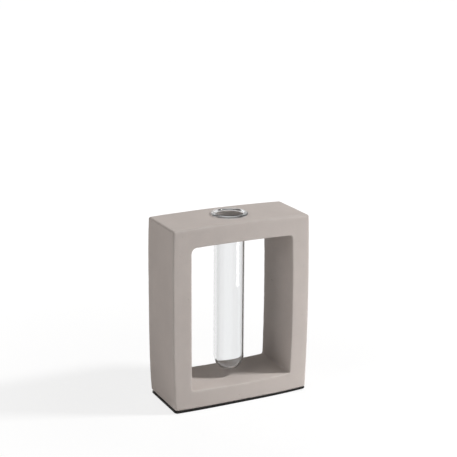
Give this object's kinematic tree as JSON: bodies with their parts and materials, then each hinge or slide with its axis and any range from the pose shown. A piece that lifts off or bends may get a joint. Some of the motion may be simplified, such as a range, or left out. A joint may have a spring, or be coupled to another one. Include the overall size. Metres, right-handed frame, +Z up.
{
  "type": "vase",
  "caption": "Upright rectangular ring of cast concrete with a clear glass test tube hanging by its flared rim in a hole through the top bar, on a thin black foam pad.",
  "frame": {"origin": "centre of the foam pad's underside, where the object rests", "axes": "+Z up along the tube, +X along the width of the ring, front face towards -Y"},
  "size_m": [0.1218, 0.05, 0.1544],
  "materials": {
    "cast_concrete": "fine matt cast concrete, warm grey, with faint clouding and pinholes",
    "clear_glass": "clear, smooth",
    "black_foam": "matt closed-cell foam",
    "adhesive_film": "dark translucent film"
  },
  "bodies": {
    "frame": {"concrete_frame": "cast_concrete", "base_pad": "black_foam", "pad_adhesive": "adhesive_film"},
    "tube": {"glass_tube": "clear_glass"}
  },
  "joints": [
    {"name": "tube_lift", "type": "slide", "parent": "frame", "child": "tube", "axis": [0, 0, 1], "range_m": [0, 0.14]}
  ]
}
